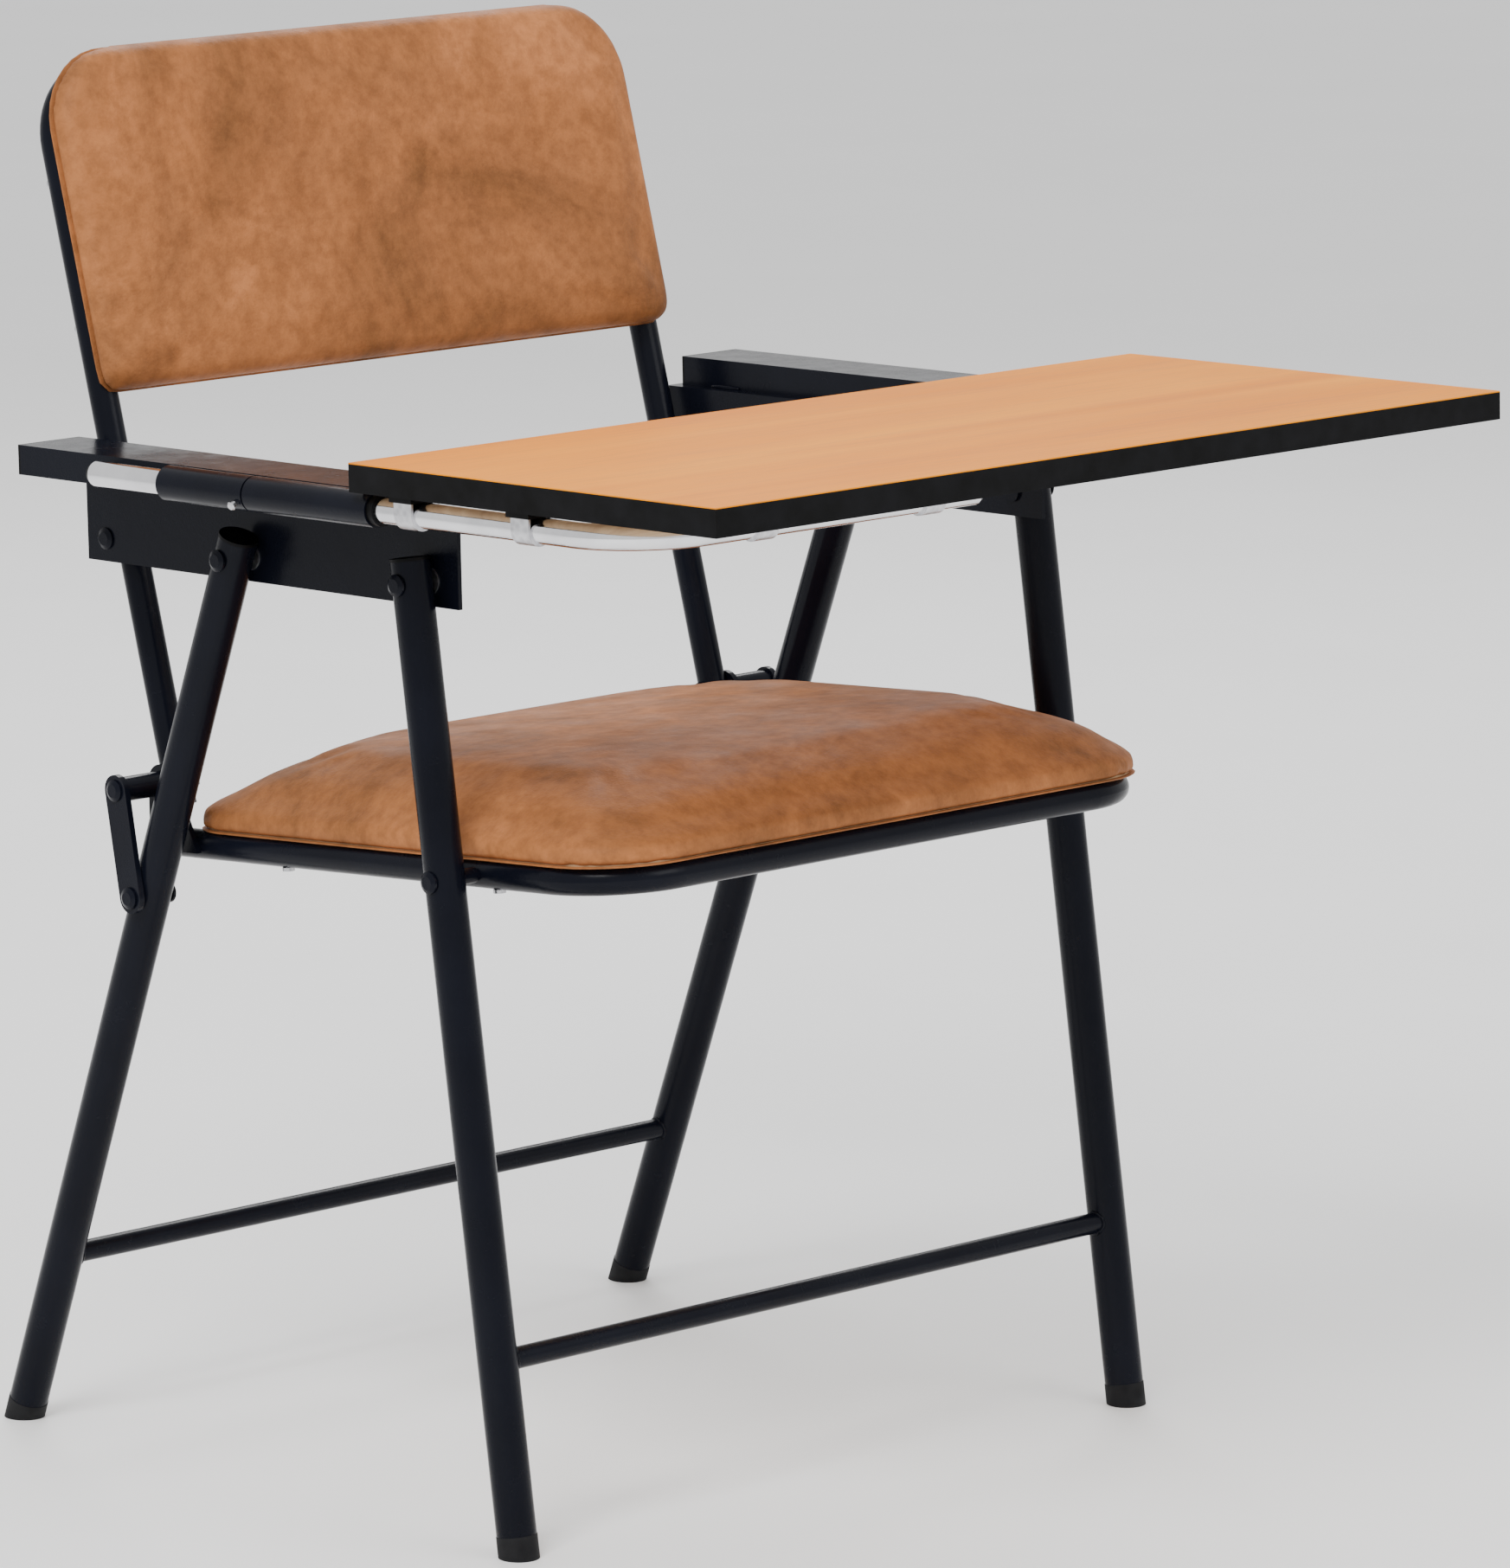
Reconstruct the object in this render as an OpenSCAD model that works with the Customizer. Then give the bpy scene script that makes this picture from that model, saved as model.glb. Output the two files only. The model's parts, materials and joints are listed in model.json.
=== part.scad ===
// Folding student desk chair with a writing pad that slides and swings on a rod at the sitter's right.
// The chair faces -Y, +Z is up and the sitter's right is -X. The origin is on the floor,
// under the middle of the whole chair. Pivot letters used below, from side view:
//   A back frame on arm, B front leg on arm, E rear leg on arm,
//   C seat on front leg, G seat on back frame, F link on rear leg.

/* [Legs] */
// Outside diameter of the leg tubes
leg_d = 25.4; // [22:0.1:26]
// Distance between the middles of the right and left legs
leg_span = 540; // [520:1:560]
// Where the front legs meet the floor, in front of the side view's zero line
front_foot_y = -240; // [-250:1:-230]
// Lean of the front legs from upright, in degrees
front_lean = 8.53; // [8:0.01:9]
// Where the rear legs meet the floor
rear_foot_y = 244; // [235:1:250]
// Lean of the rear legs from upright, in degrees
rear_lean = 20.66; // [20:0.01:21]
// Height of the middle of the front stretcher
front_stretcher_z = 121; // [100:1:180]
// Height of the middle of the rear stretcher
rear_stretcher_z = 116; // [100:1:180]
// Outside diameter of both stretchers
stretcher_d = 14; // [12:0.5:19]

/* [Back] */
// Outside diameter of the back and seat frame tubes
frame_d = 19; // [16:0.5:20]
// Distance between the middles of the back frame's two uprights
back_span = 472; // [460:1:474]
// Lean of the back frame from upright, in degrees
back_lean = 15.58; // [14:0.01:17]
// Height of the padded back
back_h = 222; // [200:1:240]
// Width of the padded back
back_w = 492; // [480:1:494]
// Thickness of the padded back with its board
back_t = 21; // [16:0.5:24]
// Corner radius of the padded back's top
back_corner_r = 52; // [30:1:70]

/* [Seat] */
// Distance between the middles of the seat's side tubes
seat_span = 473; // [461:1:475]
// Slope of the seat, rising to the front, in degrees
seat_slope = 4.05; // [2:0.01:5]
// Height of the seat frame tubes' middle, on the side view's zero line
seat_z = 405.7; // [400:0.1:410]
// Thickness of the seat cushion with its board
seat_t = 51; // [42:0.5:52]
// Front edge of the seat cushion, along the slope
seat_front = 303; // [270:1:305]
// Rear edge of the seat cushion, along the slope
seat_rear = 112; // [90:1:114]

/* [Arms] */
// Height of the arms' top faces, on the side view's zero line
arm_z = 660.4; // [655:0.1:665]
// Rise of the arms to the front, in degrees
arm_rise = 1.4; // [0:0.1:3]
// Width of the rectangular arm tubes
arm_w = 50; // [40:1:52]
// Height of the rectangular arm tubes
arm_t = 19; // [16:0.5:20]
// Distance of the arm tubes' inner faces from the chair's middle
arm_inner_x = 264; // [262:0.5:266]
// Rear end of the arm tubes
arm_rear = 177; // [165:1:190]
// Drop of the arm brackets' lower edges below the arms' tops
bracket_drop = 80; // [76:1:90]

/* [Writing pad] */
// Width of the pad
pad_w = 680; // [640:1:690]
// Depth of the pad
pad_depth = 323.5; // [300:0.5:350]
// Thickness of the pad
pad_t = 18; // [16:0.5:20]
// Rear edge of the pad, forward of the side view's zero line
pad_rear = 172.5; // [168:0.5:180]
// Diameter of the chromed rod
rod_d = 16; // [14:0.5:17]
// Outside diameter of the hinge sleeves
sleeve_d = 22.2; // [21:0.1:23]

/* [Hidden] */
$fn = 96;

wall = 1.2;
bolt_r = 4;
head_r = bolt_r + 3;
collar_r = bolt_r + 2.5;
washer_r = bolt_r + 5;
spacer_r = bolt_r + 4;
nut_t = 4;
dome_rim = 1.2;
dome_rise = 1.6;
run_gap = 0.08;
face_gap = 0.3;
through = 400;
foot_head_h = 14;
foot_stem = 18;
foot_grow = 0.3;
cap_t = 2;
cap_stem = 4;
plug_stem = 12;
back_plug_stem = 6;
leg_end_over = 14;

leg_x = leg_span / 2;
leg_r = leg_d / 2;
back_x = back_span / 2;
seat_x = seat_span / 2;
frame_r = frame_d / 2;
stretcher_r = stretcher_d / 2;
rod_r = rod_d / 2;
sleeve_r = sleeve_d / 2;

// Pivots in side view, as [y, z].
arm_front_pivot_z = 600;
seat_pivot_z = 418.3;
arm_rear_pivot_z = 596;
link_pivot_z = 369;
function on_leg(foot_y, lean, z) = [foot_y + tan(lean) * z, z];
pivot_b = on_leg(front_foot_y, front_lean, arm_front_pivot_z);
pivot_c = on_leg(front_foot_y, front_lean, seat_pivot_z);
pivot_e = on_leg(rear_foot_y, -rear_lean, arm_rear_pivot_z);
pivot_f = on_leg(rear_foot_y, -rear_lean, link_pivot_z);
pivot_g = [118, 437];
back_reach = 160;
pivot_a = pivot_g + back_reach * [sin(back_lean), cos(back_lean)];
rear_leg_len = pivot_e[1] / cos(rear_lean) + leg_end_over;
front_leg_len = pivot_b[1] / cos(front_lean) + leg_end_over;

// Layers to the side, as distances from the chair's middle.
tab_t = 4;
tab_r = 12;
tab_foot = 32;
tab_drop = 4;
tab_x = seat_x + frame_r;
bracket_t = 3;
bracket_x = 253;
bracket_out = bracket_x + bracket_t;
leg_in = leg_x - leg_r;
leg_out = leg_x + leg_r;
link_t = 4;
link_gap = 1.3;
link_x = leg_out + link_gap;
link_w = 20;
link_len = norm(pivot_g - pivot_f);
link_angle = atan2(pivot_g[1] - pivot_f[1], pivot_g[0] - pivot_f[0]);

// Back frame, measured from pivot G along the upright.
back_top = 473;
back_bottom = back_top - back_h;
back_bend_r = 45;
back_frame_drop = 5;
back_frame_top = back_top - back_frame_drop - frame_r;
upright_foot = -14;
back_board_t = 6;
back_screw_zs = [back_bottom + 45, back_bottom + 140];
back_board_inset = 4;
back_low_r = 12;
back_face_t = 4;
back_face_inset = 12;

// Seat frame, measured along the slope from the side view's zero line.
seat_run_y = -291.7;
seat_bend_r = 55;
seat_tube_rear = 130;
seat_bar_y = 90;
seat_bar_r = 8;
seat_board_t = 9;
seat_board_inset = 4;
seat_w = 490;
seat_front_r = 55;
seat_rear_r = 45;
// The cushion's crown as rows of
// [height as a share, inset, extra inset at the rear, front corner radius, rear corner radius].
// Its rear corners are low, so that they pass under the back's uprights as the seat folds up.
seat_crown = [
    [0, 0, 0, 55, 45],
    [0.16, 0, 0, 55, 45],
    [0.38, 7, 2, 52, 40],
    [0.58, 15, 9, 50, 45],
    [0.80, 29, 6, 60, 60],
    [0.94, 48, 6, 70, 80],
    [1, 80, 6, 70, 90]
];
crown_facets = 32;
sheet = 0.1;
function to_seat(p) = [
    p[0] * cos(seat_slope) - (p[1] - seat_z) * sin(seat_slope),
    p[0] * sin(seat_slope) + (p[1] - seat_z) * cos(seat_slope)
];
tab_pivot = to_seat(pivot_g);

// Arms, measured in the arm's own frame: its top face is at zero height.
right_arm_front = -160;
left_arm_front = -183;
bracket_front = -175;
bracket_rear = 181;
flange_x = 290;
rest_button_r = 5;
rod_z = -9.7;
rod_x = -(arm_inner_x + arm_w + sleeve_r);
rod_rear = 85;
rod_bend_y = -356;
rod_bend_r = 55;
rod_tip_x = -45;
rod_plug_t = 4;
sleeve_rear = 15;
sleeve_seam = -66.5;
sleeve_seam_gap = 1.5;
sleeve_front = -181.5;
sleeve_screw_back = 8;
sleeve_screw_turn = -120;
bush_len = 24;
ring_w = 5;
ring_r = 9.8;
pad_bottom = 1.9;
band_t = 2;
laminate_t = 0.8;
packer_t = pad_bottom - (rod_z + rod_r);
clip_w = 16;
clip_t = 1.6;
clip_ear = 13;
packer_ear = 15;
rod_run_y = rod_bend_y - rod_bend_r;
edge_clip_ys = [-215, -320];
run_clip_xs = [-225, -85];
screw_r = 2;
screw_head_r = 4;
screw_head_h = 2.2;
clip_screw_x = rod_r + 8;
screw_bite = 8;

// The floor point under the middle of the chair.
y_front = -(pad_rear + pad_depth) * cos(arm_rise) + pad_bottom * sin(arm_rise);
y_back = rear_foot_y + (leg_r + foot_grow) / cos(rear_lean);
y_mid = (y_front + y_back) / 2;

frame_black = [0.10, 0.11, 0.15];
plastic_black = [0.04, 0.04, 0.05];
chrome_grey = [0.80, 0.80, 0.82];
leather_brown = [0.68, 0.44, 0.28];
ply_tan = [0.72, 0.58, 0.40];
laminate_yellow = [0.95, 0.66, 0.28];

// Frames of reference
module chair() { translate([0, -y_mid, 0]) children(); }
module leg_frame(foot_y, lean) { chair() translate([0, foot_y, 0]) rotate([-lean, 0, 0]) children(); }
module back_plane() {
    chair() translate([0, pivot_g[0], pivot_g[1]]) rotate([-back_lean, 0, 0]) children();
}
module seat_plane() { chair() translate([0, 0, seat_z]) rotate([-seat_slope, 0, 0]) children(); }
module arm_plane() { chair() translate([0, 0, arm_z]) rotate([-arm_rise, 0, 0]) children(); }
module at_pivot(p) { chair() translate([0, p[0], p[1]]) children(); }
module both_sides() {
    children();
    mirror([1, 0, 0]) children();
}

// A cylinder along X from one distance to another
module x_rod(x0, x1, r) { translate([x0, 0, 0]) rotate([0, 90, 0]) cylinder(h = x1 - x0, r = r); }
// A cylinder along Y from one place to another
module y_rod(y0, y1, r) { translate([0, y1, 0]) rotate([90, 0, 0]) cylinder(h = y1 - y0, r = r); }
// Half of the room, below the floor
module underground() { translate([-500, -500, -100]) cube([1000, 1000, 100]); }
// A low domed head standing on the face at x0 and rising to greater x
module dome_head(x0, r) {
    translate([x0, 0, 0]) rotate([0, 90, 0]) {
        cylinder(h = dome_rim, r = r);
        translate([0, 0, dome_rim]) cylinder(h = dome_rise, r1 = r, r2 = r * 0.6);
    }
}
module hex_nut(x0, x1, r) { translate([x0, 0, 0]) rotate([0, 90, 0]) cylinder(h = x1 - x0, r = r, $fn = 6); }

// Legs
module leg_solid(x, len, r) { translate([x, 0, foot_head_h]) cylinder(h = len - foot_head_h, r = r); }
module leg_tube(side, foot_y, lean, len, holes) {
    color(frame_black) difference() {
        leg_frame(foot_y, lean) difference() {
            leg_solid(side * leg_x, len, leg_r);
            translate([0, 0, -1]) leg_solid(side * leg_x, len + 2, leg_r - wall);
        }
        for (hole = holes) at_pivot(hole[0]) x_rod(-through, through, hole[1]);
    }
}
module foot(x, lean, foot_y) {
    difference() {
        leg_frame(foot_y, lean) translate([x, 0, 0]) {
            translate([0, 0, -10]) cylinder(h = foot_head_h + 10, r = leg_r + foot_grow);
            cylinder(h = foot_head_h + foot_stem, r = leg_r - wall);
        }
        chair() underground();
    }
}
module leg_cap(x, len) {
    translate([x, 0, len]) cylinder(h = cap_t, r = leg_r);
    translate([x, 0, len - cap_stem]) cylinder(h = cap_stem + cap_t, r = leg_r - wall);
}
module stretcher(foot_y, lean, z, len) {
    along = z / cos(lean);
    color(frame_black) leg_frame(foot_y, lean) difference() {
        translate([0, 0, along]) x_rod(-leg_x, leg_x, stretcher_r);
        translate([0, 0, along]) x_rod(-leg_x, leg_x, stretcher_r - wall);
        for (side = [-1, 1]) leg_solid(side * leg_x, len, leg_r);
    }
}
rear_holes = [[pivot_e, bolt_r + run_gap], [pivot_f, bolt_r]];
front_holes = [[pivot_b, bolt_r + run_gap], [pivot_c, bolt_r]];
module rear_leg_right() { leg_tube(-1, rear_foot_y, -rear_lean, rear_leg_len, rear_holes); }
module rear_leg_left() { leg_tube(1, rear_foot_y, -rear_lean, rear_leg_len, rear_holes); }
module front_leg_right() { leg_tube(-1, front_foot_y, front_lean, front_leg_len, front_holes); }
module front_leg_left() { leg_tube(1, front_foot_y, front_lean, front_leg_len, front_holes); }
module rear_stretcher() { stretcher(rear_foot_y, -rear_lean, rear_stretcher_z, rear_leg_len); }
module front_stretcher() { stretcher(front_foot_y, front_lean, front_stretcher_z, front_leg_len); }
module rear_feet() {
    color(plastic_black) for (side = [-1, 1]) foot(side * leg_x, -rear_lean, rear_foot_y);
}
module front_feet() {
    color(plastic_black) for (side = [-1, 1]) foot(side * leg_x, front_lean, front_foot_y);
}
module rear_leg_caps() {
    color(plastic_black) leg_frame(rear_foot_y, -rear_lean)
        for (side = [-1, 1]) leg_cap(side * leg_x, rear_leg_len);
}
module front_leg_caps() {
    color(plastic_black) leg_frame(front_foot_y, front_lean)
        for (side = [-1, 1]) leg_cap(side * leg_x, front_leg_len);
}

// Links: their lower ends turn on rivets in the rear legs
module link_rivets() {
    color(frame_black) at_pivot(pivot_f) both_sides() {
        x_rod(leg_in, link_x + link_t + face_gap, bolt_r);
        x_rod(leg_in - cap_t, leg_in, head_r);
        dome_head(link_x + link_t + face_gap, head_r);
    }
}
module link(side) {
    color(frame_black) difference() {
        at_pivot(pivot_f) scale([side, 1, 1]) rotate([link_angle, 0, 0]) {
            x_rod(link_x, link_x + link_t, link_w / 2);
            translate([link_x, 0, -link_w / 2]) cube([link_t, link_len, link_w]);
            translate([0, link_len, 0]) x_rod(link_x, link_x + link_t, link_w / 2);
        }
        at_pivot(pivot_f) x_rod(-through, through, bolt_r + run_gap);
        at_pivot(pivot_g) x_rod(-through, through, bolt_r);
    }
}
module link_right() { mirror([1, 0, 0]) link(1); }
module link_left() { link(1); }
module link_nuts() {
    color(frame_black) at_pivot(pivot_g) both_sides() {
        x_rod(link_x, link_x + link_t, bolt_r);
        dome_head(link_x + link_t, head_r);
    }
}

// Front legs carry the seat's front bolts, whose inner ends stop at the seat's side tubes
module seat_pivot_bolts() {
    color(frame_black) at_pivot(pivot_c) both_sides() {
        x_rod(tab_x + face_gap, leg_out, bolt_r);
        x_rod(tab_x + face_gap, leg_in, bolt_r + 1);
        dome_head(leg_out, head_r);
    }
}

// Arms
module arm_box(x0, x1, y0, y1, z0, z1) { translate([x0, y0, z0]) cube([x1 - x0, y1 - y0, z1 - z0]); }
module arm_tube(front) {
    color(frame_black) arm_plane() difference() {
        arm_box(arm_inner_x, arm_inner_x + arm_w, front + cap_t, arm_rear - cap_t, -arm_t, 0);
        arm_box(arm_inner_x + wall, arm_inner_x + arm_w - wall, front, arm_rear, -arm_t + wall, -wall);
    }
}
module arm_tube_right() { mirror([1, 0, 0]) arm_tube(right_arm_front); }
module arm_tube_left() { arm_tube(left_arm_front); }
module arm_plug(y, inward) {
    arm_box(arm_inner_x, arm_inner_x + arm_w,
        min(y, y + inward * cap_t), max(y, y + inward * cap_t), -arm_t, 0);
    arm_box(arm_inner_x + wall, arm_inner_x + arm_w - wall,
        min(y, y + inward * plug_stem), max(y, y + inward * plug_stem), -arm_t + wall, -wall);
}
module arm_end_plugs() {
    color(plastic_black) arm_plane() {
        both_sides() arm_plug(arm_rear, -1);
        arm_plug(left_arm_front, 1);
        mirror([1, 0, 0]) arm_plug(right_arm_front, 1);
    }
}
module bracket() {
    color(frame_black) difference() {
        arm_plane() {
            arm_box(bracket_x, bracket_out, bracket_front, bracket_rear, -bracket_drop, -arm_t);
            arm_box(bracket_x, flange_x, bracket_front, bracket_rear, -arm_t - bracket_t, -arm_t);
        }
        for (p = [pivot_a, pivot_b, pivot_e]) at_pivot(p) x_rod(-through, through, bolt_r);
    }
}
module arm_bracket_right() { mirror([1, 0, 0]) bracket(); }
module arm_bracket_left() { bracket(); }
module back_pivot_bolts() {
    color(frame_black) at_pivot(pivot_a) both_sides() {
        x_rod(back_x - frame_r - face_gap, bracket_out, bolt_r);
        hex_nut(back_x - frame_r - face_gap - nut_t, back_x - frame_r - face_gap, head_r);
        dome_head(bracket_out, head_r);
    }
}
module back_pivot_spacers() {
    color(frame_black) at_pivot(pivot_a) both_sides() difference() {
        x_rod(back_x + frame_r + face_gap, bracket_x, collar_r);
        x_rod(back_x, bracket_x + 1, bolt_r);
    }
}
module leg_bolts(p) {
    color(frame_black) at_pivot(p) both_sides() {
        x_rod(bracket_x, leg_out + face_gap, bolt_r);
        x_rod(bracket_x - cap_t, bracket_x, collar_r);
        dome_head(leg_out + face_gap, head_r);
    }
}
module rear_leg_bolts() { leg_bolts(pivot_e); }
module front_leg_bolts() { leg_bolts(pivot_b); }
module leg_washers() {
    color(chrome_grey) for (p = [pivot_b, pivot_e]) at_pivot(p) both_sides() difference() {
        x_rod(bracket_out, leg_in - face_gap, washer_r);
        x_rod(bracket_x, leg_x, bolt_r);
    }
}

// Hinge sleeves for the writing pad's rod, on the right arm
module sleeve(y0, y1) {
    color(frame_black) arm_plane() translate([rod_x, 0, rod_z]) difference() {
        y_rod(y0, y1, sleeve_r);
        y_rod(y0 - 1, y1 + 1, sleeve_r - wall);
    }
}
module pad_sleeve_rear() { sleeve(sleeve_seam + sleeve_seam_gap / 2, sleeve_rear); }
module pad_sleeve_front() { sleeve(sleeve_front, sleeve_seam - sleeve_seam_gap / 2); }
module sleeve_bushes() {
    seam_rear = sleeve_seam + sleeve_seam_gap / 2;
    seam_front = sleeve_seam - sleeve_seam_gap / 2;
    starts = [sleeve_rear - bush_len, seam_rear, seam_front - bush_len, sleeve_front];
    color(plastic_black) arm_plane() translate([rod_x, 0, rod_z]) for (y = starts) difference() {
        y_rod(y, y + bush_len, sleeve_r - wall);
        y_rod(y - 1, y + bush_len + 1, rod_r + run_gap);
    }
}
module sleeve_screw() {
    stem_h = 3;
    color(chrome_grey) arm_plane() translate([rod_x, sleeve_seam + sleeve_screw_back, rod_z])
        rotate([0, sleeve_screw_turn, 0]) translate([0, 0, sleeve_r]) {
            cylinder(h = stem_h, r = screw_r);
            translate([0, 0, stem_h]) cylinder(h = dome_rim, r1 = screw_r + 1, r2 = screw_r);
        }
}
module pad_rest_button() {
    color(plastic_black) arm_plane()
        translate([arm_inner_x + arm_w / 2, left_arm_front + 3 * rest_button_r, 0])
        cylinder(h = pad_bottom - face_gap, r = rest_button_r);
}

// Back: one tube bent over at the top, with a padded board on its front
module frame_bend(x, z, r, from_angle) {
    translate([x, 0, z]) rotate([90, 0, 0]) rotate([0, 0, from_angle])
        rotate_extrude(angle = 90) translate([back_bend_r, 0]) circle(r = r);
}
module back_tube_run(r) {
    bend_z = back_frame_top - back_bend_r;
    bend_x = back_x - back_bend_r;
    for (side = [-1, 1])
        translate([side * back_x, 0, upright_foot]) cylinder(h = bend_z - upright_foot, r = r);
    translate([0, 0, back_frame_top]) x_rod(-bend_x, bend_x, r);
    frame_bend(bend_x, bend_z, r, 0);
    frame_bend(-bend_x, bend_z, r, 90);
}
module back_frame() {
    color(frame_black) difference() {
        back_plane() difference() {
            back_tube_run(frame_r);
            back_tube_run(frame_r - wall);
            back_screw_shanks();
        }
        at_pivot(pivot_a) x_rod(-through, through, bolt_r + run_gap);
        at_pivot(pivot_g) x_rod(-through, through, bolt_r);
    }
}
module back_frame_plugs() {
    color(plastic_black) back_plane() both_sides() translate([back_x, 0, upright_foot]) {
        translate([0, 0, -cap_t]) cylinder(h = cap_t, r = frame_r);
        cylinder(h = back_plug_stem, r = frame_r - wall);
    }
}
// An outline w wide from z = 0 to z = h, with different round corners below and above
module corner_plate(w, h, low_r, top_r, facets = $fn) {
    difference() {
        translate([-w / 2, 0]) square([w, h]);
        for (side = [-1, 1]) {
            corner_bite(side * w / 2, 0, low_r, -side, 1, facets);
            corner_bite(side * w / 2, h, top_r, -side, -1, facets);
        }
    }
}
// What a round corner of radius r takes off a square corner
module corner_bite(x, y, r, dx, dy, facets) {
    difference() {
        translate([min(x, x + dx * r) - (dx > 0 ? 1 : 0), min(y, y + dy * r) - (dy > 0 ? 1 : 0)])
            square(r + 1);
        translate([x + dx * r, y + dy * r]) circle(r = r, $fn = facets);
    }
}
module back_panel(y0, t, inset) {
    translate([0, y0, back_bottom + inset]) rotate([90, 0, 0]) linear_extrude(height = t)
        corner_plate(back_w - 2 * inset, back_h - 2 * inset, back_low_r, back_corner_r - inset);
}
module backrest_board() {
    color(ply_tan) back_plane() difference() {
        back_panel(-frame_r, back_board_t, back_board_inset);
        back_screw_shanks();
    }
}
module backrest_pad() {
    color(leather_brown) back_plane() difference() {
        union() {
            back_panel(-frame_r, back_t - back_face_t, 0);
            back_panel(-frame_r - back_t + back_face_t, back_face_t, back_face_inset);
        }
        back_panel(-frame_r, back_board_t, back_board_inset);
    }
}
module at_back_screws() { both_sides() for (z = back_screw_zs) translate([back_x, 0, z]) children(); }
module back_screw_shanks() { at_back_screws() y_rod(-frame_r - back_board_t + 1, frame_r, screw_r); }
module backrest_screws() {
    color(chrome_grey) back_plane() {
        back_screw_shanks();
        at_back_screws() y_rod(frame_r, frame_r + screw_head_h, screw_head_r);
    }
}
// The seat's rear bolts pass the rear legs inside spacer tubes and stop just short of the links
module seat_hinge_bolts() {
    color(frame_black) at_pivot(pivot_g) both_sides() {
        x_rod(back_x - frame_r, link_x - face_gap, bolt_r);
        hex_nut(back_x - frame_r - nut_t, back_x - frame_r, head_r);
    }
}
module seat_hinge_spacers() {
    color(frame_black) at_pivot(pivot_g) both_sides() difference() {
        x_rod(tab_x + tab_t + 2 * face_gap, link_x - face_gap, spacer_r);
        x_rod(back_x, link_x, bolt_r);
    }
}

// Seat: one tube bent round the front, a rear bar, two tabs and a padded board
module seat_bend(x, r, from_angle) {
    translate([x, seat_run_y + seat_bend_r, 0]) rotate([0, 0, from_angle])
        rotate_extrude(angle = 90) translate([seat_bend_r, 0]) circle(r = r);
}
module seat_tube_run(r, rear) {
    for (side = [-1, 1]) translate([side * seat_x, 0, 0]) y_rod(seat_run_y + seat_bend_r, rear, r);
    translate([0, seat_run_y, 0]) x_rod(-(seat_x - seat_bend_r), seat_x - seat_bend_r, r);
    seat_bend(seat_x - seat_bend_r, r, -90);
    seat_bend(-(seat_x - seat_bend_r), r, 180);
}
module seat_frame() {
    color(frame_black) seat_plane() difference() {
        seat_tube_run(frame_r, seat_tube_rear);
        seat_tube_run(frame_r - wall, seat_tube_rear + 1);
        seat_screw_shanks();
    }
}
module seat_rear_bar() {
    color(frame_black) seat_plane() difference() {
        translate([0, seat_bar_y, 0]) x_rod(-seat_x, seat_x, seat_bar_r);
        translate([0, seat_bar_y, 0]) x_rod(-seat_x, seat_x, seat_bar_r - wall);
        for (side = [-1, 1]) translate([side * seat_x, 0, 0]) y_rod(0, seat_tube_rear, frame_r);
    }
}
module seat_frame_plugs() {
    color(plastic_black) seat_plane() both_sides() translate([seat_x, 0, 0]) {
        y_rod(seat_tube_rear, seat_tube_rear + cap_t, frame_r);
        y_rod(seat_tube_rear - plug_stem, seat_tube_rear, frame_r - wall);
    }
}
module seat_tabs() {
    color(frame_black) difference() {
        seat_plane() both_sides() translate([tab_x, 0, 0])
            rotate([90, 0, 90]) linear_extrude(height = tab_t) {
            translate(tab_pivot) circle(r = tab_r);
            polygon([
                [tab_pivot[0] - tab_r, tab_pivot[1]],
                [tab_pivot[0] + tab_r, tab_pivot[1]],
                [seat_tube_rear, -tab_drop],
                [tab_pivot[0] - tab_foot, -tab_drop]
            ]);
        }
        at_pivot(pivot_g) x_rod(-through, through, bolt_r + run_gap);
    }
}
module seat_outline(inset) {
    translate([0, -seat_front + inset]) corner_plate(seat_w - 2 * inset,
        seat_front + seat_rear - 2 * inset, seat_front_r - inset, seat_rear_r - inset);
}
module seat_board() {
    color(ply_tan) seat_plane() difference() {
        translate([0, 0, frame_r]) linear_extrude(height = seat_board_t) seat_outline(seat_board_inset);
        seat_screw_shanks();
    }
}
// One level of the cushion's crown
module seat_level(share, inset, rear_inset, front_r, rear_r) {
    depth = seat_front + seat_rear - 2 * inset - rear_inset;
    translate([0, inset - seat_front, max(0, share * seat_t - sheet)]) linear_extrude(height = sheet)
        corner_plate(seat_w - 2 * inset, depth, front_r, rear_r, crown_facets);
}
module seat_cushion() {
    color(leather_brown) seat_plane() translate([0, 0, frame_r]) difference() {
        hull() for (level = seat_crown) seat_level(level[0], level[1], level[2], level[3], level[4]);
        translate([0, 0, -1]) linear_extrude(height = seat_board_t + 1) seat_outline(seat_board_inset);
    }
}
seat_screw_ys = [-190, 10];
module at_seat_screws() {
    both_sides() for (y = seat_screw_ys) translate([seat_x, y, -frame_r]) children();
}
module seat_screw_shanks() { at_seat_screws() cylinder(h = 2 * frame_r + screw_bite, r = screw_r); }
module seat_screws() {
    color(chrome_grey) seat_plane() {
        seat_screw_shanks();
        at_seat_screws() translate([0, 0, -screw_head_h]) cylinder(h = screw_head_h, r = screw_head_r);
    }
}

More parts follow.
